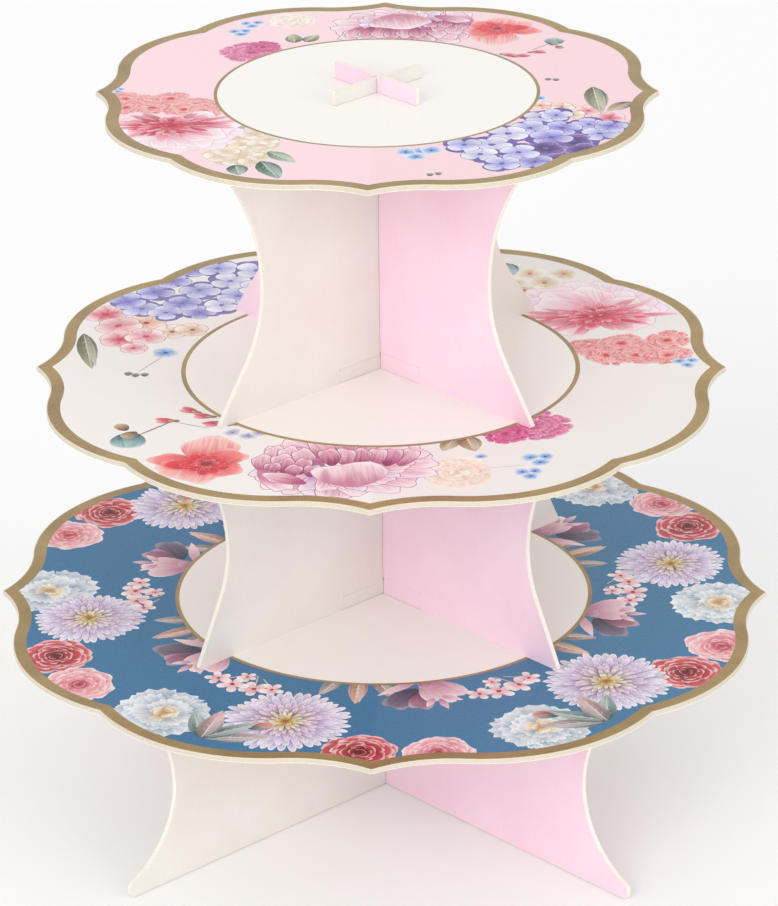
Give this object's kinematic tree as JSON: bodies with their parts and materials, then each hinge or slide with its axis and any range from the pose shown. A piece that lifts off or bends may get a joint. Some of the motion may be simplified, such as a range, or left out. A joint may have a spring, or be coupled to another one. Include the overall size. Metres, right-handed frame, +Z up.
{
  "type": "tiered cake stand",
  "caption": "Slot-together card stand with scalloped plates carried one above another on halved crosses of concave panels, for serving cakes and sandwiches.",
  "frame": {"origin": "on the ground, at the centre of the crossed base panels", "axes": "+Z up; the points of the plates lie on X and Y and the crossed panels on the diagonals, the cream panels from front-left to back-right; -Y is the front in the picture"},
  "size_m": [0.304, 0.304, 0.3028],
  "materials": {
    "board_core": "matte",
    "cream_paper": "satin",
    "pink_paper": "satin",
    "plain_paper": "satin",
    "bottom_print": "gloss",
    "middle_print": "gloss",
    "top_print": "gloss"
  },
  "bodies": {
    "base_pink_panel": {"base_pink_core": "board_core", "base_pink_facing": "pink_paper", "base_pink_backing": "pink_paper"},
    "base_cream_panel": {"base_cream_core": "board_core", "base_cream_facing": "cream_paper", "base_cream_backing": "cream_paper"},
    "bottom_plate": {"bottom_plate_core": "board_core", "bottom_plate_facing": "bottom_print", "bottom_plate_backing": "plain_paper"},
    "middle_pink_panel": {"middle_pink_core": "board_core", "middle_pink_facing": "pink_paper", "middle_pink_backing": "pink_paper"},
    "middle_cream_panel": {"middle_cream_core": "board_core", "middle_cream_facing": "cream_paper", "middle_cream_backing": "cream_paper"},
    "middle_plate": {"middle_plate_core": "board_core", "middle_plate_facing": "middle_print", "middle_plate_backing": "plain_paper"},
    "top_pink_panel": {"top_pink_core": "board_core", "top_pink_facing": "pink_paper", "top_pink_backing": "pink_paper"},
    "top_cream_panel": {"top_cream_core": "board_core", "top_cream_facing": "cream_paper", "top_cream_backing": "cream_paper"},
    "top_plate": {"top_plate_core": "board_core", "top_plate_facing": "top_print", "top_plate_backing": "plain_paper"}
  },
  "joints": [
    {"name": "lift_base_cream_panel", "type": "slide", "parent": "base_pink_panel", "child": "base_cream_panel", "axis": [0, 0, 1], "range_m": [0, 0.1]},
    {"name": "lift_bottom_plate", "type": "slide", "parent": "base_cream_panel", "child": "bottom_plate", "axis": [0, 0, 1], "range_m": [0, 0.04]},
    {"name": "lift_middle_pink_panel", "type": "slide", "parent": "bottom_plate", "child": "middle_pink_panel", "axis": [0, 0, 1], "range_m": [0, 0.04]},
    {"name": "lift_middle_cream_panel", "type": "slide", "parent": "middle_pink_panel", "child": "middle_cream_panel", "axis": [0, 0, 1], "range_m": [0, 0.115]},
    {"name": "lift_middle_plate", "type": "slide", "parent": "middle_cream_panel", "child": "middle_plate", "axis": [0, 0, 1], "range_m": [0, 0.04]},
    {"name": "lift_top_pink_panel", "type": "slide", "parent": "middle_plate", "child": "top_pink_panel", "axis": [0, 0, 1], "range_m": [0, 0.04]},
    {"name": "lift_top_cream_panel", "type": "slide", "parent": "top_pink_panel", "child": "top_cream_panel", "axis": [0, 0, 1], "range_m": [0, 0.13]},
    {"name": "lift_top_plate", "type": "slide", "parent": "top_cream_panel", "child": "top_plate", "axis": [0, 0, 1], "range_m": [0, 0.04]}
  ]
}
